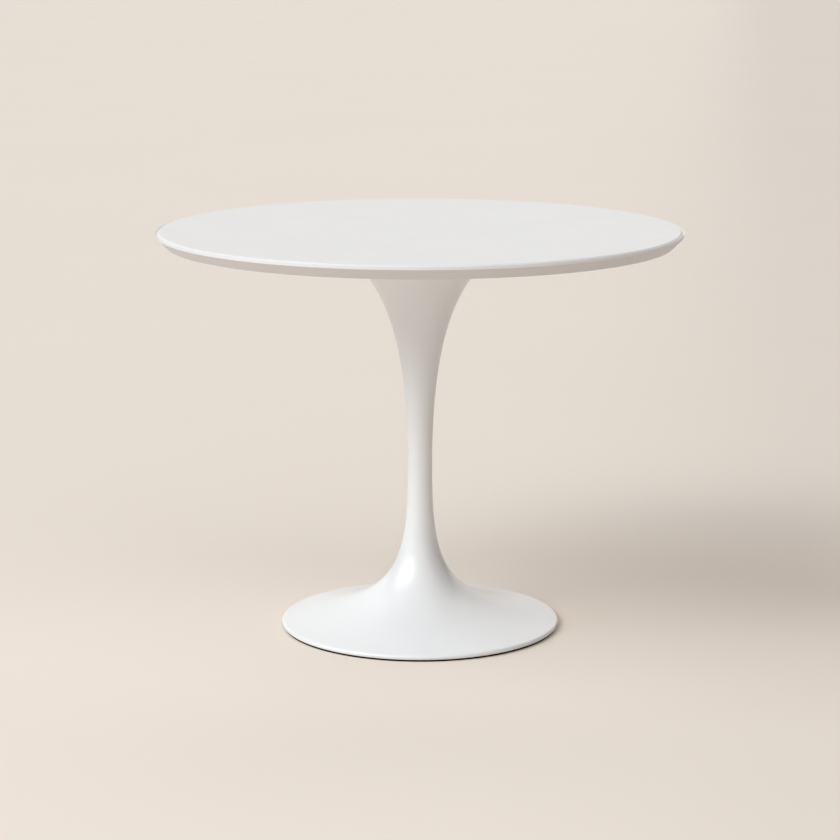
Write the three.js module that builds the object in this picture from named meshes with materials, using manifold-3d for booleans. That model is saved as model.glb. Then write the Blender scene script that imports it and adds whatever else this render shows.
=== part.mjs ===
// A round pedestal table: a bevelled lacquered top on a hollow cast trumpet pedestal.
// One tie rod inside the stem pulls the top's mounting plate down, so the top bears on the casting's rim.
// Millimetres, +Z up. The origin is on the floor, on the table's axis.
import * as THREE from "three";
import { mergeVertices } from "three/addons/utils/BufferGeometryUtils.js";
import Module from "manifold-3d";

const wasm = await Module();
wasm.setup();

// ---- Driving dimensions --------------------------------------------------------------------

const TABLE_HEIGHT = 740;
const TOP_RADIUS = 477;
const TOP_THICKNESS = 25;
const BEVEL = 18; // the 45 degree bevel under the rim
const ARRIS = 2; // the rounded upper edge

const FOOT_RADIUS = 257;
const LIP_HEIGHT = 9; // the foot's rounded edge
const RING_HEIGHT = 3; // the rubber ring that stands proud under the foot
const WAIST_RADIUS = 22.6;
const WAIST_HEIGHT = 301;
const FLARE_RADIUS = 166; // where the pedestal meets the top
const WALL = 5; // of the casting

// The pedestal's two sweeps leave their ends at these slopes, and each end pulls this far along its tangent.
const FOOT_SLOPE = THREE.MathUtils.degToRad(10.2);
const FLARE_SLOPE = THREE.MathUtils.degToRad(28.6);
const FOOT_PULL = 214;
const WAIST_PULL_DOWN = 196;
const WAIST_PULL_UP = 240.2;
const FLARE_PULL = 114.6;

// Fasteners.
const GAP = 0.3; // clearance between a piece and the bore or groove it sits in
const M6 = 3; // nominal radii
const M16 = 8;
const ROD_CLEARANCE = M16 + 1; // radius of the holes that the tie rod passes through
const PLATE_SCREWS = 8;
const BALLAST_SCREWS = 6;
const SCREW_CIRCLE = 110; // radius of both screw circles

// Roundness: multiples of four, so that a ring is as wide as its diameter along X and Y.
const TOP_SEGMENTS = 72;
const RING_SEGMENTS = 48;
const BAR_SEGMENTS = 16;
const FASTENER_SEGMENTS = 12;

// Heights worked out from the dimensions above.
const underside = TABLE_HEIGHT - TOP_THICKNESS;
const bevelTop = underside + BEVEL;

// ---- Outlines ------------------------------------------------------------------------------

const point = (x, y) => new THREE.Vector2(x, y);

// A point at an angle and distance from a centre.
function polar(centre, radius, angle) {
  return point(radius * Math.cos(angle), radius * Math.sin(angle)).add(centre);
}

// A round stretch of an outline, with both of its ends.
function arc(centre, radius, first, last, steps) {
  const angles = Array.from({ length: steps + 1 }, (_, i) => first + ((last - first) * i) / steps);
  return angles.map((angle) => polar(centre, radius, angle));
}

// Angles that share a full turn equally.
function turns(count, first = 0) {
  return Array.from({ length: count }, (_, i) => first + (i * 2 * Math.PI) / count);
}

// An outline of equal sides with its corners on a circle.
function polygon(radius, sides, centre = point(0, 0)) {
  return new THREE.Shape(turns(sides).map((angle) => polar(centre, radius, angle)));
}

const hexagon = (acrossFlats) => polygon(acrossFlats / Math.sqrt(3), 6);

// The same round outline at each angle of the screw circle.
function onScrewCircle(radius, angles) {
  const centres = angles.map((angle) => polar(point(0, 0), SCREW_CIRCLE, angle));
  return centres.map((centre) => polygon(radius, FASTENER_SEGMENTS, centre));
}

// ---- Solids --------------------------------------------------------------------------------

// A profile of (radius, height) points turned around the Z axis. It runs anticlockwise around its material.
function turned(profile, segments) {
  return new THREE.LatheGeometry(profile, segments).rotateX(Math.PI / 2);
}

// A flat outline in XY, raised from z = low to z = high.
function raised(outline, low, high) {
  const options = { depth: high - low, bevelEnabled: false };
  return new THREE.ExtrudeGeometry(outline, options).translate(0, 0, low);
}

function withHoles(outline, holes) {
  outline.holes = holes;
  return outline;
}

// A closed geometry as a solid that can be joined and cut.
function solid(geometry) {
  geometry.deleteAttribute("normal");
  geometry.deleteAttribute("uv");
  const merged = mergeVertices(geometry);
  return new wasm.Manifold(
    new wasm.Mesh({
      numProp: 3,
      vertProperties: merged.attributes.position.array,
      triVerts: new Uint32Array(merged.index.array),
    }),
  );
}

// A joined or cut solid as a geometry with flat faces.
function geometryOf(body) {
  const mesh = body.getMesh();
  const geometry = new THREE.BufferGeometry();
  geometry.setAttribute("position", new THREE.BufferAttribute(mesh.vertProperties, 3));
  geometry.setIndex(new THREE.BufferAttribute(mesh.triVerts, 1));
  const flat = geometry.toNonIndexed();
  flat.computeVertexNormals();
  return flat;
}

// Upright posts on the screw circle, to join or to cut with.
function posts(radius, angles, low, high) {
  return onScrewCircle(radius, angles).map((outline) => solid(raised(outline, low, high)));
}

const join = (bodies) => bodies.reduce((whole, body) => whole.add(body));
const cut = (body, tools) => body.subtract(join(tools));

// ---- Materials and placing -----------------------------------------------------------------

function material(color, roughness, metalness) {
  return new THREE.MeshStandardMaterial({ color, roughness, metalness });
}

const lacquer = material(0xe9e6e2, 0.42, 0);
const powderCoat = material(0xf0efec, 0.25, 0);
const rubber = material(0x1b1916, 0.8, 0);
const zincSteel = material(0xb6b8ba, 0.35, 1);
const brass = material(0xc39a4e, 0.35, 1);
const blackSteel = material(0x2b2b2d, 0.5, 0.6);

const table = new THREE.Group();

function place(name, geometry, finish, x = 0, y = 0, z = 0) {
  const mesh = new THREE.Mesh(geometry, finish);
  mesh.name = name;
  mesh.position.set(x, y, z);
  table.add(mesh);
}

// Numbered copies of a piece on the screw circle, with their own origins at height z.
function placeOnScrewCircle(name, make, finish, angles, z) {
  angles.forEach((angle, i) => {
    const at = polar(point(0, 0), SCREW_CIRCLE, angle);
    place(`${name}_${i + 1}`, make(), finish, at.x, at.y, z);
  });
}

// ---- The top -------------------------------------------------------------------------------

const INSERT_RADIUS = 5;
const INSERT_LENGTH = 13;
const plateScrewAngles = turns(PLATE_SCREWS);

function tableTop() {
  const arrisCentre = point(TOP_RADIUS - ARRIS, TABLE_HEIGHT - ARRIS);
  const profile = [
    point(0, underside),
    point(TOP_RADIUS - BEVEL, underside),
    point(TOP_RADIUS, bevelTop),
    ...arc(arrisCentre, ARRIS, 0, Math.PI / 2, 3),
    point(0, TABLE_HEIGHT),
  ];
  const holeTop = underside + INSERT_LENGTH + 1;
  const insertHoles = posts(INSERT_RADIUS + GAP, plateScrewAngles, underside - 1, holeTop);
  return geometryOf(cut(solid(turned(profile, TOP_SEGMENTS)), insertHoles));
}

// A threaded sleeve pressed into the underside of the top.
function threadedInsert() {
  const bore = M6 + GAP;
  const profile = [
    point(bore, 0),
    point(INSERT_RADIUS, 0),
    point(INSERT_RADIUS, INSERT_LENGTH),
    point(bore, INSERT_LENGTH),
    point(bore, 0),
  ];
  return turned(profile, FASTENER_SEGMENTS);
}

place("table_top", tableTop(), lacquer);
placeOnScrewCircle("top_insert", threadedInsert, brass, plateScrewAngles, underside);

// ---- Button head screws --------------------------------------------------------------------

const HEAD_RADIUS = 5.5;
const HEAD_HEIGHT = 3.3;
const HEAD_FLAT = 3.6; // radius of the head's flat end
const HEAD_RIM = 1.2; // height of the head's straight edge
const SOCKET_RADIUS = 2;
const SOCKET_DEPTH = 1.8;

// A screw that points up: its head hangs below its own origin and its shank stands above.
function buttonScrew(length) {
  const profile = [
    point(0, SOCKET_DEPTH - HEAD_HEIGHT),
    point(SOCKET_RADIUS, SOCKET_DEPTH - HEAD_HEIGHT),
    point(SOCKET_RADIUS, -HEAD_HEIGHT),
    point(HEAD_FLAT, -HEAD_HEIGHT),
    point(HEAD_RADIUS, -HEAD_RIM),
    point(HEAD_RADIUS, 0),
    point(M6, 0),
    point(M6, length),
    point(0, length),
  ];
  return turned(profile, FASTENER_SEGMENTS);
}

// ---- The mounting plate --------------------------------------------------------------------

const PLATE_RADIUS = 130;
const PLATE_THICKNESS = 6;
const PLATE_SCREW_LENGTH = 16;
const HEX_WIDTH = 24; // across the flats of the coupling and the nut
const FLANGE_RADIUS = 20;
const FLANGE_THICKNESS = 4;
const COUPLING_LENGTH = 30;
const plateBottom = underside - PLATE_THICKNESS;

function mountingPlate() {
  const screwHoles = onScrewCircle(M6 + 2 * GAP, plateScrewAngles);
  const rodHole = polygon(ROD_CLEARANCE, BAR_SEGMENTS);
  const disc = withHoles(polygon(PLATE_RADIUS, RING_SEGMENTS), [...screwHoles, rodHole]);
  return raised(disc, plateBottom, underside);
}

// The flanged nut welded under the plate, which the tie rod screws into.
function rodCoupling() {
  const bottom = plateBottom - COUPLING_LENGTH;
  const flangeBottom = plateBottom - FLANGE_THICKNESS;
  const flange = raised(polygon(FLANGE_RADIUS, BAR_SEGMENTS), flangeBottom, plateBottom);
  const hex = raised(hexagon(HEX_WIDTH), bottom, flangeBottom + FLANGE_THICKNESS / 2);
  const bore = raised(polygon(M16 + GAP, BAR_SEGMENTS), bottom - 1, plateBottom + 1);
  return geometryOf(solid(flange).add(solid(hex)).subtract(solid(bore)));
}

const plateScrew = () => buttonScrew(PLATE_SCREW_LENGTH);

place("mounting_plate", mountingPlate(), zincSteel);
place("rod_coupling", rodCoupling(), zincSteel);
placeOnScrewCircle("plate_screw", plateScrew, zincSteel, plateScrewAngles, plateBottom);

// ---- The tie rod ---------------------------------------------------------------------------

const WEB_TOP = 118; // the web across the foot of the stem, which the rod's nut pulls on
const WEB_THICKNESS = 10;
const WASHER_RADIUS = 20;
const WASHER_THICKNESS = 3;
const NUT_HEIGHT = 13;
const ROD_CHAMFER = 1.5;
const ROD_BELOW_NUT = 6;
const ROD_BELOW_PLATE = 3;
const webBottom = WEB_TOP - WEB_THICKNESS;
const washerBottom = webBottom - WASHER_THICKNESS;
const nutBottom = washerBottom - NUT_HEIGHT;

function tieRod() {
  const bottom = nutBottom - ROD_BELOW_NUT;
  const top = plateBottom - ROD_BELOW_PLATE;
  const profile = [
    point(0, bottom),
    point(M16 - ROD_CHAMFER, bottom),
    point(M16, bottom + ROD_CHAMFER),
    point(M16, top - ROD_CHAMFER),
    point(M16 - ROD_CHAMFER, top),
    point(0, top),
  ];
  return turned(profile, BAR_SEGMENTS);
}

function rodWasher() {
  const hole = polygon(M16 + 2 * GAP, BAR_SEGMENTS);
  const disc = withHoles(polygon(WASHER_RADIUS, BAR_SEGMENTS), [hole]);
  return raised(disc, washerBottom, webBottom);
}

function rodNut() {
  const bore = polygon(M16 + GAP, BAR_SEGMENTS);
  return raised(withHoles(hexagon(HEX_WIDTH), [bore]), nutBottom, washerBottom);
}

place("tie_rod", tieRod(), zincSteel);
place("rod_washer", rodWasher(), zincSteel);
place("rod_nut", rodNut(), zincSteel);

// ---- The pedestal --------------------------------------------------------------------------

const FOOT_STEPS = 11;
const FLARE_STEPS = 9;
const CAVITY_EDGE = 10; // height of the foot's hollow where it ends at the lip
const GROOVE_INNER = 244;
const GROOVE_OUTER = 248;
const GROOVE_DEPTH = 3;
const BALLAST_TOP = 22; // the ribs and bosses end at this height
const RIB_THICKNESS = 5;
const RIB_START = 60; // radius of a rib's inner corner, beside the nut
const BOSS_RADIUS = 9;
const SCREW_DEPTH = 20;
const ballastScrewAngles = turns(BALLAST_SCREWS);
const ribAngles = turns(BALLAST_SCREWS, Math.PI / BALLAST_SCREWS);

const lipRadius = LIP_HEIGHT / 2;
const lipCentre = point(FOOT_RADIUS - lipRadius, RING_HEIGHT + lipRadius);
const lipEnd = Math.PI / 2 - FOOT_SLOPE; // where the rounded lip runs into the foot's sweep

// The foot sweeps up into the waist, and the waist opens into the flare under the top.
const footStart = polar(lipCentre, lipRadius, lipEnd);
const waist = point(WAIST_RADIUS, WAIST_HEIGHT);
const rim = point(FLARE_RADIUS, underside);
const footSweep = new THREE.CubicBezierCurve(
  footStart,
  polar(footStart, FOOT_PULL, Math.PI - FOOT_SLOPE),
  point(WAIST_RADIUS, WAIST_HEIGHT - WAIST_PULL_DOWN),
  waist,
);
const flareSweep = new THREE.CubicBezierCurve(
  waist,
  point(WAIST_RADIUS, WAIST_HEIGHT + WAIST_PULL_UP),
  polar(rim, FLARE_PULL, Math.PI + FLARE_SLOPE),
  rim,
);

// Points along one sweep, moved inwards along its normal.
function sweepAt(depth, sweep, steps) {
  return Array.from({ length: steps + 1 }, (_, i) => {
    const tangent = sweep.getTangent(i / steps);
    const inwards = point(-tangent.y, tangent.x);
    return sweep.getPoint(i / steps).addScaledVector(inwards, depth);
  });
}

// The whole wall from the lip to the rim, at a depth inside the casting's outer surface.
function wallAt(depth) {
  const flare = sweepAt(depth, flareSweep, FLARE_STEPS);
  return [...sweepAt(depth, footSweep, FOOT_STEPS), ...flare.slice(1)];
}

// The part of a rising wall between two heights, with its ends worked out on those heights.
function between(wall, low, high) {
  const crossing = (height) => {
    const i = wall.findIndex((p) => p.y > height);
    const share = (height - wall[i - 1].y) / (wall[i].y - wall[i - 1].y);
    return wall[i - 1].clone().lerp(wall[i], share);
  };
  return [crossing(low), ...wall.filter((p) => p.y > low && p.y < high), crossing(high)];
}

// The casting's wall as one closed profile: round the lip, up the outside, over the rim,
// down inside the stem to the web, down under the foot, and along the lip's groove.
function shellProfile() {
  const inside = wallAt(WALL);
  const stemInside = between(inside, WEB_TOP, underside).reverse();
  const footInside = between(inside, CAVITY_EDGE, webBottom).reverse();
  return [
    ...arc(lipCentre, lipRadius, -Math.PI / 2, 0, 3),
    ...arc(lipCentre, lipRadius, 0, lipEnd, 3).slice(1, -1),
    ...wallAt(0),
    ...stemInside,
    point(ROD_CLEARANCE, WEB_TOP),
    point(ROD_CLEARANCE, webBottom),
    ...footInside,
    point(footInside.at(-1).x, RING_HEIGHT),
    point(GROOVE_INNER, RING_HEIGHT),
    point(GROOVE_INNER, RING_HEIGHT + GROOVE_DEPTH),
    point(GROOVE_OUTER, RING_HEIGHT + GROOVE_DEPTH),
    point(GROOVE_OUTER, RING_HEIGHT),
    point(lipCentre.x, RING_HEIGHT),
  ];
}

// A plate on edge under the foot. It runs out past the hollow, and is trimmed to the wall afterwards.
function rib(angle) {
  const outline = new THREE.Shape([
    point(RIB_START, BALLAST_TOP),
    point(GROOVE_INNER, BALLAST_TOP),
    point(GROOVE_INNER, webBottom),
    point(WASHER_RADIUS * 2, webBottom),
  ]);
  const plate = raised(outline, -RIB_THICKNESS / 2, RIB_THICKNESS / 2);
  return solid(plate.rotateX(Math.PI / 2).rotateZ(angle));
}

function pedestal() {
  const shell = solid(turned(shellProfile(), RING_SEGMENTS));
  const middle = between(wallAt(WALL / 2), BALLAST_TOP, WEB_TOP - WEB_THICKNESS / 2);
  const insideMiddle = [point(0, BALLAST_TOP), ...middle, point(0, middle.at(-1).y)];
  const bosses = posts(BOSS_RADIUS, ballastScrewAngles, BALLAST_TOP, webBottom);
  const stiffeners = join([...ribAngles.map(rib), ...bosses]);
  const trimmed = stiffeners.intersect(solid(turned(insideMiddle, RING_SEGMENTS)));
  const holeTop = BALLAST_TOP + SCREW_DEPTH;
  const screwHoles = posts(M6 + GAP, ballastScrewAngles, BALLAST_TOP - 1, holeTop);
  return geometryOf(cut(shell.add(trimmed), screwHoles));
}

place("pedestal", pedestal(), powderCoat);

// ---- Ballast and floor ring ----------------------------------------------------------------

const BALLAST_THICKNESS = 12;
const BALLAST_INNER = 50; // leaves room for a socket on the rod's nut
const BALLAST_OUTER = 165;
const BALLAST_SCREW_LENGTH = 28;
const RING_SETBACK = 3.5; // the rubber ring stands this far inside the lip
const RING_EASE = 0.6; // the bevel on its lower outer edge
const RING_WIDTH = 16;
const ballastBottom = BALLAST_TOP - BALLAST_THICKNESS;

function ballastRing() {
  const screwHoles = onScrewCircle(M6 + 2 * GAP, ballastScrewAngles);
  const centreHole = polygon(BALLAST_INNER, RING_SEGMENTS);
  const disc = withHoles(polygon(BALLAST_OUTER, RING_SEGMENTS), [...screwHoles, centreHole]);
  return raised(disc, ballastBottom, BALLAST_TOP);
}

// The ring's tongue stands in the groove under the lip, and its lower outer edge is eased.
function floorRing() {
  const outer = FOOT_RADIUS - RING_SETBACK;
  const inner = outer - RING_WIDTH;
  const tongueTop = RING_HEIGHT + GROOVE_DEPTH - GAP;
  const profile = [
    point(inner, 0),
    point(outer - RING_EASE, 0),
    point(outer, RING_EASE),
    point(outer, RING_HEIGHT),
    point(GROOVE_OUTER - GAP, RING_HEIGHT),
    point(GROOVE_OUTER - GAP, tongueTop),
    point(GROOVE_INNER + GAP, tongueTop),
    point(GROOVE_INNER + GAP, RING_HEIGHT),
    point(inner, RING_HEIGHT),
    point(inner, 0),
  ];
  return turned(profile, RING_SEGMENTS);
}

const ballastScrew = () => buttonScrew(BALLAST_SCREW_LENGTH);

place("ballast_ring", ballastRing(), blackSteel);
placeOnScrewCircle("ballast_screw", ballastScrew, zincSteel, ballastScrewAngles, ballastBottom);
place("floor_ring", floorRing(), rubber);

export default table;
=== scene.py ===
"""Looks of a round pedestal table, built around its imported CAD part. Metres, +Z up, in the CAD's frame."""
import math

import bmesh
import bpy
from mathutils import Matrix, Vector


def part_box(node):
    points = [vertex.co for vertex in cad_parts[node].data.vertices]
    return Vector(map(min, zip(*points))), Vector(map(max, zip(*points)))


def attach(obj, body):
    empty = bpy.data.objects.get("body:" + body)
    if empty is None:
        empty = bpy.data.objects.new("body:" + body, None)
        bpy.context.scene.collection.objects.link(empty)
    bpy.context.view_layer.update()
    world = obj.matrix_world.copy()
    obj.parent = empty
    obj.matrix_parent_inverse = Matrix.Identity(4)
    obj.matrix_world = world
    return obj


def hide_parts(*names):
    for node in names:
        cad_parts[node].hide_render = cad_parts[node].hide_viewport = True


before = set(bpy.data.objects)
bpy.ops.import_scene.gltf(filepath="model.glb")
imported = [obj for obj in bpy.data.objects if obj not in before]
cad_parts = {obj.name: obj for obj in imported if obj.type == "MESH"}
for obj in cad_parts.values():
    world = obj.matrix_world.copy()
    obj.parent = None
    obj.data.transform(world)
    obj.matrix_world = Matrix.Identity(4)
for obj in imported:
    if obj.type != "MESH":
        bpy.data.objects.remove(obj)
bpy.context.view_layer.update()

# ---- Dimensions ------------------------------------------------------------------------------

MM = 0.001
top_low, top_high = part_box("table_top")
foot_low, foot_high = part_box("pedestal")
ring_low, ring_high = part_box("floor_ring")
ballast_low, ballast_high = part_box("ballast_ring")
plate_low, plate_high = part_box("mounting_plate")
coupling_low, coupling_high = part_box("rod_coupling")
rod_low, rod_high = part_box("tie_rod")
washer_low, washer_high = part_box("rod_washer")
nut_low, nut_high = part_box("rod_nut")

TOP_RADIUS = top_high.x
UNDERSIDE = top_low.z
BEVEL = 18 * MM
ARRIS = 2 * MM

FOOT_RADIUS = foot_high.x
LIP_RADIUS = 4.5 * MM
WAIST_RADIUS = 22.6 * MM
WAIST_HEIGHT = 301 * MM
FLARE_RADIUS = 166 * MM
WALL = 5 * MM
FOOT_SLOPE = math.radians(10.2)
FLARE_SLOPE = math.radians(28.6)
FOOT_PULL = 214 * MM
WAIST_PULL_DOWN = 196 * MM
WAIST_PULL_UP = 240.2 * MM
FLARE_PULL = 114.6 * MM
WEB_TOP = 118 * MM
WEB_BOTTOM = washer_high.z
CAVITY_EDGE = 10 * MM
GROOVE_INNER = 244 * MM
GROOVE_OUTER = 248 * MM
GROOVE_DEPTH = 3 * MM

GAP = 0.3 * MM
M6 = 3 * MM
M6_PITCH = 1 * MM
M16 = rod_high.x
M16_PITCH = 2 * MM
ROD_CLEARANCE = M16 + 1 * MM
SCREW_CIRCLE = 110 * MM
BALLAST_INNER = 50 * MM
RIB_THICKNESS = 5 * MM
RIB_START = 60 * MM
BOSS_RADIUS = 9 * MM

SMOOTH = 192  # chords round the large pieces
BAR = 48
FASTENER = 32
ON_AXIS = 1e-7  # a radius below this is a point on the axis


# ---- Outlines --------------------------------------------------------------------------------

def turns(count, first=0.0):
    """Angles that share a full turn equally."""
    return [first + i * math.tau / count for i in range(count)]


def polar(radius, angle):
    return Vector((radius * math.cos(angle), radius * math.sin(angle)))


def arc(centre, radius, first, last, steps):
    angles = [first + (last - first) * i / steps for i in range(steps + 1)]
    return [Vector(centre) + polar(radius, angle) for angle in angles]


def eased(corners, steps=4):
    """An outline from (radius, height, rounding) corners, with an arc in place of each rounded one."""
    outline = []
    for i, (x, z, rounding) in enumerate(corners):
        here = Vector((x, z))
        if not rounding:
            outline.append(here)
            continue
        back = (Vector(corners[i - 1][:2]) - here).normalized()
        ahead = (Vector(corners[(i + 1) % len(corners)][:2]) - here).normalized()
        half = back.angle(ahead) / 2
        centre = here + (back + ahead).normalized() * rounding / math.sin(half)
        start = here + back * rounding / math.tan(half) - centre
        sweep = (math.pi - 2 * half) * (1 if start.cross(ahead) > 0 else -1)
        first = math.atan2(start.y, start.x)
        outline += arc(centre, rounding, first, first + sweep, steps)
    return outline


def bezier(ends, steps):
    """(point, inward normal) pairs along a cubic curve, in the (radius, height) plane."""
    a, b, c, d = ends
    pairs = []
    for i in range(steps + 1):
        t = i / steps
        s = 1 - t
        at = a * s**3 + b * 3 * s * s * t + c * 3 * s * t * t + d * t**3
        along = (b - a) * s * s + (c - b) * 2 * s * t + (d - c) * t * t
        along.normalize()
        pairs.append((at, Vector((-along.y, along.x))))
    return pairs


# ---- Meshes ----------------------------------------------------------------------------------

def piece_from(name, bm):
    bmesh.ops.recalc_face_normals(bm, faces=bm.faces)
    mesh = bpy.data.meshes.new(name)
    bm.to_mesh(mesh)
    bm.free()
    piece = bpy.data.objects.new(name, mesh)
    bpy.context.scene.collection.objects.link(piece)
    return piece


def turned(name, outline, segments, shape=None):
    """A closed outline of (radius, height) points turned round Z. shape, if given, moves a point's radius."""
    bm = bmesh.new()
    rings = []
    for x, z in outline:
        if x < ON_AXIS:
            rings.append([bm.verts.new((0, 0, z))] * segments)
            continue
        ring = []
        for angle in turns(segments):
            radius = shape(x, z, angle) if shape else x
            ring.append(bm.verts.new((*polar(radius, angle), z)))
        rings.append(ring)
    for lower, upper in zip(rings, rings[1:] + rings[:1]):
        for i in range(segments):
            j = (i + 1) % segments
            corners = dict.fromkeys((lower[i], lower[j], upper[j], upper[i]))
            if len(corners) > 2:
                bm.faces.new(tuple(corners))
    return piece_from(name, bm)


def raised(name, outline, low, high):
    """A flat outline in XY raised from z = low to z = high."""
    bm = bmesh.new()
    rings = [[bm.verts.new((x, y, z)) for x, y in outline] for z in (low, high)]
    count = len(outline)
    for i in range(count):
        j = (i + 1) % count
        bm.faces.new((rings[0][i], rings[0][j], rings[1][j], rings[1][i]))
    bm.faces.new(reversed(rings[0]))
    bm.faces.new(rings[1])
    return piece_from(name, bm)


def applied(piece):
    """The piece with its modifiers turned into mesh."""
    evaluated = piece.evaluated_get(bpy.context.evaluated_depsgraph_get())
    mesh = bpy.data.meshes.new_from_object(evaluated)
    old = piece.data
    piece.modifiers.clear()
    piece.data = mesh
    mesh.name = piece.name
    bpy.data.meshes.remove(old)
    return piece


def combined(piece, others, operation):
    """The piece joined with, cut by or kept within the others, which are used up."""
    for other in others:
        modifier = piece.modifiers.new(operation, "BOOLEAN")
        modifier.object = other
        modifier.operation = operation
        modifier.solver = "EXACT"
    applied(piece)
    for other in others:
        bpy.data.objects.remove(other)
    return piece


def moved(piece, matrix):
    piece.data.transform(matrix)
    return piece


def copied(piece, name):
    copy = bpy.data.objects.new(name, piece.data.copy())
    copy.data.name = name
    bpy.context.scene.collection.objects.link(copy)
    return copy


def joined(name, pieces):
    """Several separate closed shells as one object."""
    bm = bmesh.new()
    for piece in pieces:
        bm.from_mesh(piece.data)
        bpy.data.objects.remove(piece)
    return piece_from(name, bm)


def drills(radius, low, high, circle, angles):
    """Round cutters on a circle, slightly wider at their lower mouth so that each hole's edge is eased."""
    ease = 0.5 * MM
    outline = [
        (0, low - ease),
        (radius + 2 * ease, low - ease),
        (radius, low + ease),
        (radius, high),
        (0, high),
    ]
    made = []
    for angle in angles:
        place = Matrix.Translation((*polar(circle, angle), 0))
        made.append(moved(turned("drill", outline, FASTENER), place))
    return joined("drills", made)


def thread(pitch, depth, low, high):
    """A radius function that winds a screw thread between two heights."""
    def shape(radius, z, angle):
        if not low <= z <= high:
            return radius
        phase = (z / pitch - angle / math.tau) % 1
        return radius - depth * abs(2 * phase - 1)
    return shape


def stretch(radius, low, high, pitch):
    """Close rings of a shank, for a thread to wind along."""
    rings_per_turn = 5
    steps = round((high - low) / pitch * rings_per_turn)
    return [(radius, low + (high - low) * i / steps) for i in range(steps + 1)]


# ---- Materials -------------------------------------------------------------------------------

def finish_of(name, **values):
    """A Principled material with the given socket values, as (material, shader)."""
    material = bpy.data.materials.new(name)
    material.use_nodes = True
    shader = material.node_tree.nodes["Principled BSDF"]
    for socket, value in values.items():
        shader.inputs[socket.replace("_", " ")].default_value = value
    return material, shader


def noise(tree, per_metre, detail=2.0, along=(1, 1, 1)):
    """Noise in the object's own space, with its axes stretched by along."""
    place = tree.nodes.new("ShaderNodeTexCoord")
    mapping = tree.nodes.new("ShaderNodeMapping")
    mapping.inputs["Scale"].default_value = along
    texture = tree.nodes.new("ShaderNodeTexNoise")
    texture.inputs["Scale"].default_value = per_metre
    texture.inputs["Detail"].default_value = detail
    tree.links.new(place.outputs["Object"], mapping.inputs["Vector"])
    tree.links.new(mapping.outputs["Vector"], texture.inputs["Vector"])
    return texture.outputs["Fac"]


def ranged(tree, factor, low, high):
    """The middle of a noise's range spread from low to high."""
    node = tree.nodes.new("ShaderNodeMapRange")
    node.inputs["From Min"].default_value = 0.3
    node.inputs["From Max"].default_value = 0.7
    node.inputs["To Min"].default_value = low
    node.inputs["To Max"].default_value = high
    tree.links.new(factor, node.inputs["Value"])
    return node.outputs["Result"]


def mixed(tree, factor, first, second):
    node = tree.nodes.new("ShaderNodeMix")
    node.data_type = "RGBA"
    node.inputs["A"].default_value = (*first, 1)
    node.inputs["B"].default_value = (*second, 1)
    tree.links.new(factor, node.inputs["Factor"])
    return node.outputs["Result"]


def toned(tree, value, stops):
    """A grey that follows (value, shade) stops smoothly."""
    low, high = stops[0][0], stops[-1][0]
    node = tree.nodes.new("ShaderNodeMapRange")
    node.inputs["From Min"].default_value = low
    node.inputs["From Max"].default_value = high
    tree.links.new(value, node.inputs["Value"])
    ramp = tree.nodes.new("ShaderNodeValToRGB")
    ramp.color_ramp.interpolation = "B_SPLINE"
    while len(ramp.color_ramp.elements) < len(stops):
        ramp.color_ramp.elements.new(0.5)
    for element, (at, shade) in zip(ramp.color_ramp.elements, stops):
        element.position = (at - low) / (high - low)
        element.color = (shade, shade, shade, 1)
    tree.links.new(node.outputs["Result"], ramp.inputs["Fac"])
    return ramp.outputs["Color"]


def multiplied(tree, first, second):
    """The product of two colours."""
    node = tree.nodes.new("ShaderNodeMix")
    node.data_type = "RGBA"
    node.blend_type = "MULTIPLY"
    node.inputs["Factor"].default_value = 1
    tree.links.new(first, node.inputs["A"])
    tree.links.new(second, node.inputs["B"])
    return node.outputs["Result"]


def bumped(tree, layers):
    """Bump nodes in a chain, one for each (height, depth in metres)."""
    normal = None
    for height, depth in layers:
        node = tree.nodes.new("ShaderNodeBump")
        node.inputs["Distance"].default_value = depth
        tree.links.new(height, node.inputs["Height"])
        if normal:
            tree.links.new(normal, node.inputs["Normal"])
        normal = node.outputs["Normal"]
    return normal


def dressed(name, colours, colour_noise, roughness, roughness_noise, bumps, **values):
    """A material whose colour and roughness drift with noise, over layers of bump."""
    material, shader = finish_of(name, **values)
    tree = material.node_tree
    colour = mixed(tree, ranged(tree, noise(tree, *colour_noise), 0, 1), *colours)
    tree.links.new(colour, shader.inputs["Base Color"])
    rough = ranged(tree, noise(tree, *roughness_noise), *roughness)
    tree.links.new(rough, shader.inputs["Roughness"])
    layers = [(noise(tree, *of), depth) for of, depth in bumps]
    tree.links.new(bumped(tree, layers), shader.inputs["Normal"])
    return material


def satin_lacquer():
    """Sprayed white lacquer: a fine orange peel over a slight long wave, with painted shade darkening the
    faces that look down.
    """
    material = dressed(
        "satin_lacquer",
        [(0.785, 0.762, 0.746), (0.801, 0.779, 0.764)], (9, 3),
        (0.36, 0.44), (60, 3),
        [((30, 1), 0.003 * MM), ((240, 0), 0.0006 * MM)],
        Coat_Weight=0.15,
        Coat_Roughness=0.3,
    )
    tree = material.node_tree
    base = tree.nodes["Principled BSDF"].inputs["Base Color"]
    facing = tree.nodes.new("ShaderNodeSeparateXYZ")
    tree.links.new(tree.nodes.new("ShaderNodeTexCoord").outputs["Normal"], facing.inputs["Vector"])
    # painted shade: faces that look down, the bevel and the underside, are darkened
    painted_shade_below = toned(tree, facing.outputs["Z"], [(-0.8, 0.81), (-0.4, 0.85), (-0.1, 1.0), (0.2, 1.0)])
    tree.links.new(multiplied(tree, base.links[0].from_socket, painted_shade_below), base)
    return material


def powder_coat():
    """Baked white powder: glossier than the top, with a coarser peel."""
    return dressed(
        "powder_coat",
        [(0.812, 0.808, 0.800), (0.826, 0.822, 0.815)], (11, 3),
        (0.28, 0.34), (60, 3),
        [((40, 0), 0.003 * MM), ((170, 0), 0.0008 * MM)],
        Coat_Weight=0.30,
        Coat_Roughness=0.05,
    )


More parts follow.
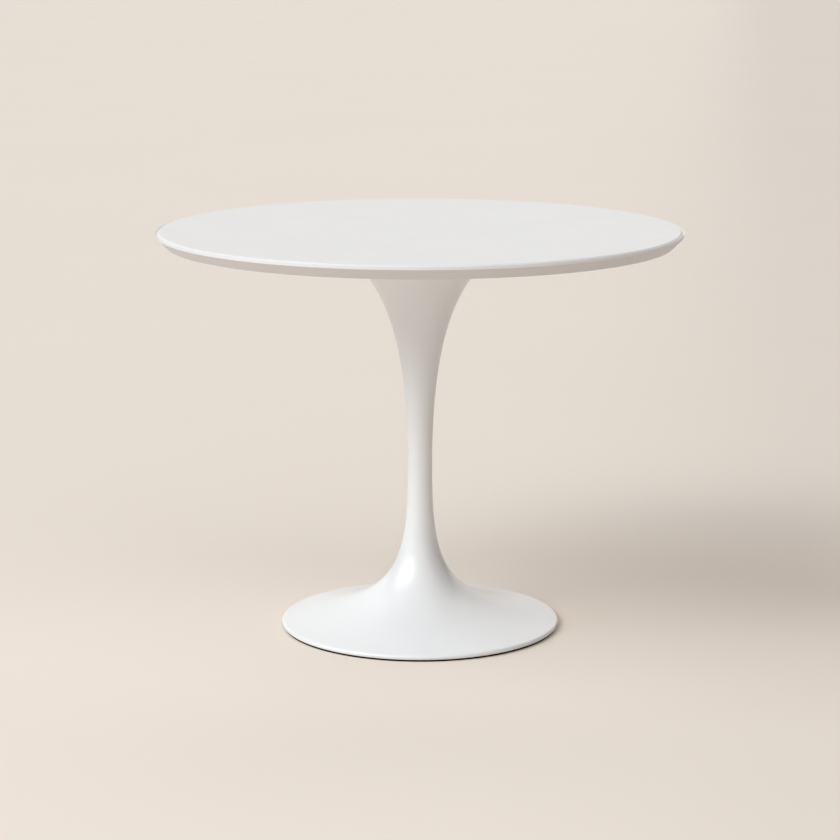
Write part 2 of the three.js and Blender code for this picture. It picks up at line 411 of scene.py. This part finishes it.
def black_rubber():
    return dressed(
        "black_rubber",
        [(0.006, 0.006, 0.006), (0.016, 0.015, 0.014)], (120, 5),
        (0.62, 0.82), (300, 5),
        [((1500, 4), 0.03 * MM)],
        Specular_IOR_Level=0.12,
    )


def black_paint():
    """Thick black enamel on steel plate."""
    return dressed(
        "black_paint",
        [(0.014, 0.014, 0.015), (0.028, 0.028, 0.030)], (80, 5),
        (0.34, 0.52), (140, 5),
        [((260, 3), 0.03 * MM)],
    )


def zinc_plate():
    """Bright zinc over drawn steel, with faint scuffs round the axis."""
    return dressed(
        "zinc_plate",
        [(0.56, 0.57, 0.60), (0.68, 0.67, 0.64)], (160, 5),
        (0.22, 0.42), (420, 5),
        [((900, 3, (1, 1, 6)), 0.008 * MM)],
        Metallic=1.0,
    )


def turned_brass():
    """Brass with the fine rings that a lathe leaves."""
    return dressed(
        "turned_brass",
        [(0.66, 0.44, 0.17), (0.78, 0.56, 0.26)], (180, 4),
        (0.20, 0.36), (500, 4),
        [((260, 2, (0.2, 0.2, 14)), 0.01 * MM)],
        Metallic=1.0,
    )


# ---- Dressing a piece ------------------------------------------------------------------------

CREASE = math.radians(34)  # edges sharper than this stay sharp


def dress(piece, node, material):
    """The piece shaded smooth, in its material, standing for its CAD node on the table's one body."""
    piece.data.materials.clear()
    piece.data.materials.append(material)
    piece.data.polygons.foreach_set("use_smooth", [True] * len(piece.data.polygons))
    piece.data.set_sharp_from_angle(angle=CREASE)
    weigh = piece.modifiers.new("weigh", "WEIGHTED_NORMAL")
    weigh.keep_sharp = True
    applied(piece)
    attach(piece, "root")
    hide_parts(node)


# ---- The top ---------------------------------------------------------------------------------

plate_angles = turns(8)
INSERT_LENGTH = 13 * MM
INSERT_RADIUS = 5 * MM
SLEEVE = 96  # chords round an insert, four for each ridge of its knurling


def top_panel():
    height = top_high.z
    flat = TOP_RADIUS - 3 * ARRIS
    outline = eased([
        (0, UNDERSIDE, 0),
        (TOP_RADIUS - BEVEL, UNDERSIDE, 0.8 * MM),
        (TOP_RADIUS, UNDERSIDE + BEVEL, 1.2 * MM),
        (TOP_RADIUS, height, ARRIS),
        (flat, height, 0),
        (flat / 2, height, 0),
        (0, height, 0),
    ], steps=6)
    hole_top = UNDERSIDE + INSERT_LENGTH + 1 * MM
    holes = drills(INSERT_RADIUS + GAP, UNDERSIDE, hole_top, SCREW_CIRCLE, plate_angles)
    return combined(turned("top_panel", outline, SMOOTH), [holes], "DIFFERENCE")


def insert_sleeve():
    """A sleeve with a plain collar at each end and knurling between them."""
    low, high = UNDERSIDE, UNDERSIDE + INSERT_LENGTH
    bore = M6 + GAP
    ease = 0.4 * MM
    ridges = 24
    groove = 0.35 * MM
    collar = 3 * MM
    knurled = (low + collar, high - collar)

    def knurl(radius, z, angle):
        if radius > bore + ease and knurled[0] < z < knurled[1]:
            return radius - groove * (0.5 - 0.5 * math.cos(ridges * angle))
        return radius

    waist = INSERT_RADIUS - ease
    outline = [
        (bore + ease, low), (waist, low), (INSERT_RADIUS, low + ease),
        (INSERT_RADIUS, knurled[0] - ease), (waist, knurled[0]), (INSERT_RADIUS, knurled[0] + ease),
        (INSERT_RADIUS, knurled[1] - ease), (waist, knurled[1]), (INSERT_RADIUS, knurled[1] + ease),
        (INSERT_RADIUS, high - ease), (waist, high), (bore + ease, high),
        (bore, high - ease), (bore, low + ease),
    ]
    return turned("insert_sleeve", outline, SLEEVE, knurl)


# ---- Fasteners -------------------------------------------------------------------------------

HEAD_RADIUS = 5.5 * MM
HEAD_HEIGHT = 3.3 * MM
HEAD_FLAT = 3.6 * MM
HEAD_RIM = 1.2 * MM
SOCKET_WIDTH = 4 * MM  # across flats
SOCKET_DEPTH = 1.8 * MM
M6_THREAD = 0.55 * MM  # depth of the thread
M16_THREAD = 1.1 * MM
HEX_WIDTH = 24 * MM  # across flats
HEX_CHAMFER = math.radians(30)


def hexagon(across):
    return [polar(across / math.sqrt(3), angle) for angle in turns(6)]


def button_screw(length):
    """A domed screw with a hexagon socket, seated at z = 0 and pointing up."""
    tip = 0.7 * MM
    head = eased([
        (0, -HEAD_HEIGHT, 0),
        (HEAD_FLAT, -HEAD_HEIGHT, 1.4 * MM),
        (HEAD_RADIUS, -HEAD_RIM, 0.8 * MM),
        (HEAD_RADIUS, 0, 0.15 * MM),
        (M6, 0, 0),
    ])
    shank = stretch(M6, 1 * MM, length - tip, M6_PITCH)
    winding = thread(M6_PITCH, M6_THREAD, 1.5 * MM, length - tip)
    outline = [*head, *shank, (M6 - tip, length), (0, length)]

    def shape(radius, z, angle):
        return winding(radius, z, angle) if radius == M6 else radius

    screw = turned("screw", outline, FASTENER, shape)
    socket = raised("socket", hexagon(SOCKET_WIDTH), -2 * HEAD_HEIGHT, SOCKET_DEPTH - HEAD_HEIGHT)
    return combined(screw, [socket], "DIFFERENCE")


def through_bore(radius, low, high):
    """A cutter for a hole with both of its edges eased."""
    ease = 0.5 * MM
    outline = [
        (0, low - ease),
        (radius + 2 * ease, low - ease),
        (radius, low + ease),
        (radius, high - ease),
        (radius + 2 * ease, high + ease),
        (0, high + ease),
    ]
    return turned("bore", outline, BAR)


def hexagon_nut(name, low, high):
    """A hexagon with its corners turned off at both ends, before its hole is made."""
    corner = 1.02 * HEX_WIDTH / math.sqrt(3)  # just outside the hexagon's corners
    flat = 0.47 * HEX_WIDTH  # the round face left at each end
    fall = (corner - flat) * math.tan(HEX_CHAMFER)
    blank = [(0, low), (flat, low), (corner, low + fall), (corner, high - fall), (flat, high), (0, high)]
    return combined(raised(name, hexagon(HEX_WIDTH), low, high), [turned("blank", blank, BAR)], "INTERSECT")


def draw_nut():
    low, high = nut_low.z, nut_high.z
    nut = hexagon_nut("draw_nut", low, high)
    return combined(nut, [through_bore(M16 + GAP, low, high)], "DIFFERENCE")


def draw_washer():
    low, high = washer_low.z, washer_high.z
    ease = 0.4 * MM
    outline = eased([
        (M16 + 2 * GAP, low, ease),
        (washer_high.x, low, ease),
        (washer_high.x, high, ease),
        (M16 + 2 * GAP, high, ease),
    ])
    return turned("draw_washer", outline, BAR)


def draw_rod():
    """A plain bar with a thread wound on each end."""
    low, high = rod_low.z, rod_high.z
    tip = 1.5 * MM
    threaded = 46 * MM
    lower = stretch(M16, low + tip, low + threaded, M16_PITCH)
    upper = stretch(M16, high - threaded, high - tip, M16_PITCH)
    outline = [(0, low), (M16 - tip, low), *lower, *upper, (M16 - tip, high), (0, high)]
    foot = thread(M16_PITCH, M16_THREAD, low, low + threaded - tip)
    head = thread(M16_PITCH, M16_THREAD, high - threaded + tip, high)

    def shape(radius, z, angle):
        if radius < M16:
            return radius
        return min(foot(radius, z, angle), head(radius, z, angle))

    return turned("draw_rod", outline, BAR, shape)


# ---- The hardware under the top --------------------------------------------------------------

FLANGE_THICKNESS = 4 * MM


def top_plate():
    low, high = plate_low.z, plate_high.z
    ease = 0.6 * MM
    outline = eased([
        (ROD_CLEARANCE, low, ease),
        (plate_high.x, low, ease),
        (plate_high.x, high, ease),
        (ROD_CLEARANCE, high, ease),
    ])
    holes = drills(M6 + 2 * GAP, low, high + 1 * MM, SCREW_CIRCLE, plate_angles)
    return combined(turned("top_plate", outline, SMOOTH), [holes], "DIFFERENCE")


def rod_socket():
    """A long nut with a flange at its top."""
    low, high = coupling_low.z, coupling_high.z
    flange_low = high - FLANGE_THICKNESS
    flange = eased([
        (0, flange_low, 0),
        (coupling_high.x, flange_low, 0.8 * MM),
        (coupling_high.x, high, 0.3 * MM),
        (0, high, 0),
    ])
    nut = hexagon_nut("rod_socket", low, flange_low + FLANGE_THICKNESS / 2)
    combined(nut, [turned("flange", flange, BAR)], "UNION")
    return combined(nut, [through_bore(M16 + GAP, low, high)], "DIFFERENCE")


# ---- The pedestal ----------------------------------------------------------------------------

FOOT_STEPS = 56
FLARE_STEPS = 48
ballast_angles = turns(6)
rib_angles = turns(6, math.pi / 6)
SCREW_DEPTH = 20 * MM

lip_centre = Vector((FOOT_RADIUS - LIP_RADIUS, foot_low.z + LIP_RADIUS))
lip_end = math.pi / 2 - FOOT_SLOPE
foot_start = lip_centre + polar(LIP_RADIUS, lip_end)
waist = Vector((WAIST_RADIUS, WAIST_HEIGHT))
rim = Vector((FLARE_RADIUS, UNDERSIDE))
foot_sweep = [
    foot_start,
    foot_start + polar(FOOT_PULL, math.pi - FOOT_SLOPE),
    waist - Vector((0, WAIST_PULL_DOWN)),
    waist,
]
flare_sweep = [
    waist,
    waist + Vector((0, WAIST_PULL_UP)),
    rim + polar(FLARE_PULL, math.pi + FLARE_SLOPE),
    rim,
]


def wall_at(depth):
    """The casting's whole side from the lip to the rim, at a depth inside its outer surface."""
    pairs = bezier(foot_sweep, FOOT_STEPS) + bezier(flare_sweep, FLARE_STEPS)[1:]
    return [at + inwards * depth for at, inwards in pairs]


def between(wall, low, high):
    """The part of a rising wall between two heights, with its ends worked out on those heights."""
    def crossing(height):
        after = next(i for i, p in enumerate(wall) if p.y > height)
        before, beyond = wall[after - 1], wall[after]
        return before.lerp(beyond, (height - before.y) / (beyond.y - before.y))
    return [crossing(low), *(p for p in wall if low < p.y < high), crossing(high)]


def shell_outline():
    """Round the lip, up the outside, over the rim, down the stem to the web, and down under the foot."""
    inside = wall_at(WALL)
    lip = arc(lip_centre, LIP_RADIUS, -math.pi / 2, lip_end, 10)
    stem_inside = between(inside, WEB_TOP, UNDERSIDE)[::-1]
    foot_inside = between(inside, CAVITY_EDGE, WEB_BOTTOM)[::-1]
    floor = foot_low.z
    return [
        *lip[:-1],
        *wall_at(0),
        *stem_inside,
        (ROD_CLEARANCE, WEB_TOP),
        (ROD_CLEARANCE, WEB_BOTTOM),
        *foot_inside,
        (foot_inside[-1].x, floor),
        (GROOVE_INNER, floor),
        (GROOVE_INNER, floor + GROOVE_DEPTH),
        (GROOVE_OUTER, floor + GROOVE_DEPTH),
        (GROOVE_OUTER, floor),
    ]


def rib(angle):
    """A plate on edge under the foot, from beside the nut out to the middle of the casting's wall."""
    middle = between(wall_at(WALL / 2), ballast_high.z, WEB_BOTTOM + WALL / 2)
    outline = [(RIB_START, ballast_high.z), *middle, (2 * washer_high.x, middle[-1].y)]
    plate = raised("rib", outline, -RIB_THICKNESS / 2, RIB_THICKNESS / 2)
    stand = Matrix.Rotation(math.pi / 2, 4, "X")
    return moved(plate, Matrix.Rotation(angle, 4, "Z") @ stand)


def boss(angle):
    """A post for a ballast screw, whose top follows the middle of the casting's wall."""
    centre = polar(SCREW_CIRCLE, angle)
    post = raised("boss", [polar(BOSS_RADIUS, a) for a in turns(FASTENER)], 0, 1)
    moved(post, Matrix.Translation((*centre, 0)))
    wall = between(wall_at(WALL / 2), ballast_high.z, WEB_BOTTOM)
    for vertex in post.data.vertices:
        reach = vertex.co.xy.length
        above = next(i for i, p in enumerate(wall) if p.x < reach)
        share = (wall[above - 1].x - reach) / (wall[above - 1].x - wall[above].x)
        top = wall[above - 1].lerp(wall[above], share).y
        vertex.co.z = top if vertex.co.z > 0.5 else ballast_high.z
    return post


def trumpet_base():
    base = turned("trumpet_base", shell_outline(), SMOOTH)
    stiffeners = [rib(angle) for angle in rib_angles] + [boss(angle) for angle in ballast_angles]
    combined(base, [joined("stiffeners", stiffeners)], "UNION")
    hole_top = ballast_high.z + SCREW_DEPTH
    holes = drills(M6 + GAP, ballast_high.z, hole_top, SCREW_CIRCLE, ballast_angles)
    return combined(base, [holes], "DIFFERENCE")


# ---- Ballast and floor ring ------------------------------------------------------------------

def ballast_disc():
    low, high = ballast_low.z, ballast_high.z
    ease = 1 * MM
    outline = eased([
        (BALLAST_INNER, low, ease),
        (ballast_high.x, low, ease),
        (ballast_high.x, high, ease),
        (BALLAST_INNER, high, ease),
    ])
    holes = drills(M6 + 2 * GAP, low, high + 1 * MM, SCREW_CIRCLE, ballast_angles)
    return combined(turned("ballast_disc", outline, SMOOTH), [holes], "DIFFERENCE")


def foot_ring():
    """A rubber ring with a tongue in the casting's groove."""
    low, high = ring_low.z, foot_low.z
    width = 16 * MM
    outer = ring_high.x
    ease = 0.6 * MM
    outline = eased([
        (outer - width, low, ease),
        (outer, low, ease),
        (outer, high, 0.2 * MM),
        (GROOVE_OUTER - GAP, high, 0),
        (GROOVE_OUTER - GAP, ring_high.z, 0.3 * MM),
        (GROOVE_INNER + GAP, ring_high.z, 0.3 * MM),
        (GROOVE_INNER + GAP, high, 0),
        (outer - width, high, 0.2 * MM),
    ], steps=3)
    return turned("foot_ring", outline, SMOOTH)


# ---- The pieces ------------------------------------------------------------------------------

zinc = zinc_plate()
brass = turned_brass()


def dress_copies(name, node, pattern, angles, seat, material):
    """Numbered copies of a pattern piece round the screw circle, seated at a height."""
    for i, angle in enumerate(angles, start=1):
        place = Matrix.Translation((*polar(SCREW_CIRCLE, angle), seat))
        copy = moved(copied(pattern, f"{name}_{i}"), place)
        dress(copy, f"{node}_{i}", material)
    bpy.data.objects.remove(pattern)


dress(top_panel(), "table_top", satin_lacquer())
dress(trumpet_base(), "pedestal", powder_coat())
dress(foot_ring(), "floor_ring", black_rubber())
dress(ballast_disc(), "ballast_ring", black_paint())
dress(top_plate(), "mounting_plate", zinc)
dress(rod_socket(), "rod_coupling", zinc)
dress(draw_rod(), "tie_rod", zinc)
dress(draw_washer(), "rod_washer", zinc)
dress(draw_nut(), "rod_nut", zinc)
dress_copies(
    "insert_sleeve", "top_insert", insert_sleeve(), plate_angles, 0, brass
)
dress_copies(
    "plate_bolt", "plate_screw", button_screw(16 * MM), plate_angles, plate_low.z, zinc
)
dress_copies(
    "ballast_bolt", "ballast_screw", button_screw(28 * MM), ballast_angles, ballast_low.z,
    zinc,
)

# ---- The studio ------------------------------------------------------------------------------

FLOOR_HALF = 60.0  # half of the floor's width
FLOOR_DROP = 0.05 * MM  # keeps the floor just clear of the rubber ring
FLOOR_COLOURS = (0.918, 0.806, 0.704), (0.928, 0.816, 0.714)
PAINTED_FLOOR_LIGHT_TURN = math.radians(7)  # the painted light falloff on the floor runs this far off its axes
# painted light and shade on the floor: darker to the right, away from the key light, and darker towards the
# back
PAINTED_FLOOR_LIGHT_ACROSS = (-1.2, 0.985), (-0.4, 0.98), (0.1, 0.965), (0.45, 0.925), (0.75, 0.87), (1.2, 0.87)
PAINTED_FLOOR_LIGHT_ALONG = (-1.3, 1.01), (-0.6, 0.96), (0.0, 0.93), (0.7, 0.915), (2.2, 0.91)


def studio_floor():
    """A pale paper floor with painted light: a little lighter on the key light's side and in front of the
    table, darker to the right and towards the back.
    """
    bm = bmesh.new()
    bmesh.ops.create_grid(bm, x_segments=40, y_segments=40, size=FLOOR_HALF)
    floor = piece_from("studio_floor", bm)
    floor.location.z = -FLOOR_DROP
    material, shader = finish_of("pale_floor", Roughness=0.7, Specular_IOR_Level=0.2)
    tree = material.node_tree
    place = tree.nodes.new("ShaderNodeTexCoord")
    turn = tree.nodes.new("ShaderNodeMapping")
    turn.inputs["Rotation"].default_value = (0, 0, PAINTED_FLOOR_LIGHT_TURN)
    split = tree.nodes.new("ShaderNodeSeparateXYZ")
    tree.links.new(place.outputs["Object"], turn.inputs["Vector"])
    tree.links.new(turn.outputs["Vector"], split.inputs["Vector"])
    # painted light: the paper's colour is darkened by these two falloffs
    across = toned(tree, split.outputs["X"], PAINTED_FLOOR_LIGHT_ACROSS)
    along = toned(tree, split.outputs["Y"], PAINTED_FLOOR_LIGHT_ALONG)
    paper = mixed(tree, ranged(tree, noise(tree, 0.8, 2), 0, 1), *FLOOR_COLOURS)
    colour = multiplied(tree, multiplied(tree, paper, across), along)
    tree.links.new(colour, shader.inputs["Base Color"])
    floor.data.materials.append(material)


def softbox(name, azimuth, elevation, spread, strength, colour):
    """A broad far lamp. Angles are in degrees, and azimuth turns from the table's front to its left."""
    lamp = bpy.data.lights.new(name, "SUN")
    lamp.energy = strength
    lamp.angle = math.radians(spread)
    lamp.color = colour
    light = bpy.data.objects.new(name, lamp)
    light.rotation_euler = (math.radians(90 - elevation), 0, math.radians(-azimuth))
    bpy.context.scene.collection.objects.link(light)


def room(glow, backdrop):
    """A faint glow from all round. The camera itself sees the pale backdrop."""
    world = bpy.data.worlds.new("room")
    world.use_nodes = True
    tree = world.node_tree
    seen = tree.nodes.new("ShaderNodeLightPath")
    colour = mixed(tree, seen.outputs["Is Camera Ray"], glow, backdrop)
    tree.links.new(colour, tree.nodes["Background"].inputs["Color"])
    bpy.context.scene.world = world


EYE = (0, -4.7494, 1.3507)
EYE_DIP = math.radians(11.478)  # how far the camera looks down


def camera():
    """A long lens in front of the table, a little above the top."""
    data = bpy.data.cameras.new("camera")
    data.lens = 112.92
    data.sensor_width = 36.0
    data.clip_end = 200.0
    eye = bpy.data.objects.new("camera", data)
    eye.location = EYE
    eye.rotation_euler = (math.pi / 2 - EYE_DIP, 0, 0)
    bpy.context.scene.collection.objects.link(eye)
    bpy.context.scene.camera = eye


studio_floor()
softbox("key", 74, 41, 48, 1.33, (0.90, 1.0, 1.10))
softbox("window", 45, 36, 30, 0.87, (0.96, 1.0, 1.03))
softbox("low", 70, 14, 60, 0.34, (0.94, 1.0, 1.06))
softbox("front", -5, 50, 84, 1.29, (1.0, 1.0, 1.0))
softbox("back", 180, 30, 80, 1.16, (1.04, 1.0, 0.96))
room(glow=(0.02, 0.02, 0.02), backdrop=(0.79, 0.72, 0.65))
camera()
bpy.context.scene.view_settings.view_transform = "Standard"
